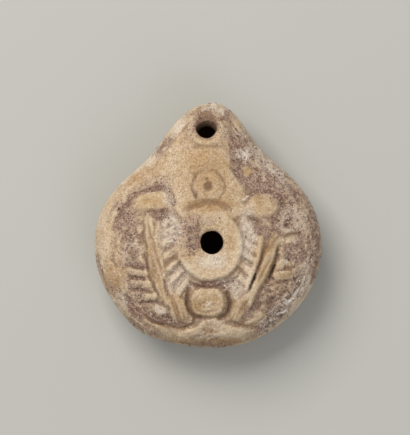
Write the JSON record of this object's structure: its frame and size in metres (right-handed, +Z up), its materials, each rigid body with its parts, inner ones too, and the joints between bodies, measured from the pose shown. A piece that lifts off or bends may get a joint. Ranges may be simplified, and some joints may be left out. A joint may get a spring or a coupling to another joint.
{
  "type": "roman oil lamp",
  "caption": "Mould-made clay oil lamp with a round body, short wick nozzle, filling hole and branch relief on its shoulder.",
  "frame": {"origin": "centre of the flat base, on the surface that the lamp stands on", "axes": "+Z up, +Y towards the nozzle, +X to the right when the lamp is seen from above with its nozzle away from the viewer"},
  "size_m": [0.0776, 0.0837, 0.0307],
  "materials": {
    "fired_clay": "unglazed buff terracotta, dull, with earth and lime in the relief"
  },
  "bodies": {
    "root": {"lamp_body": "fired_clay"}
  },
  "joints": []
}
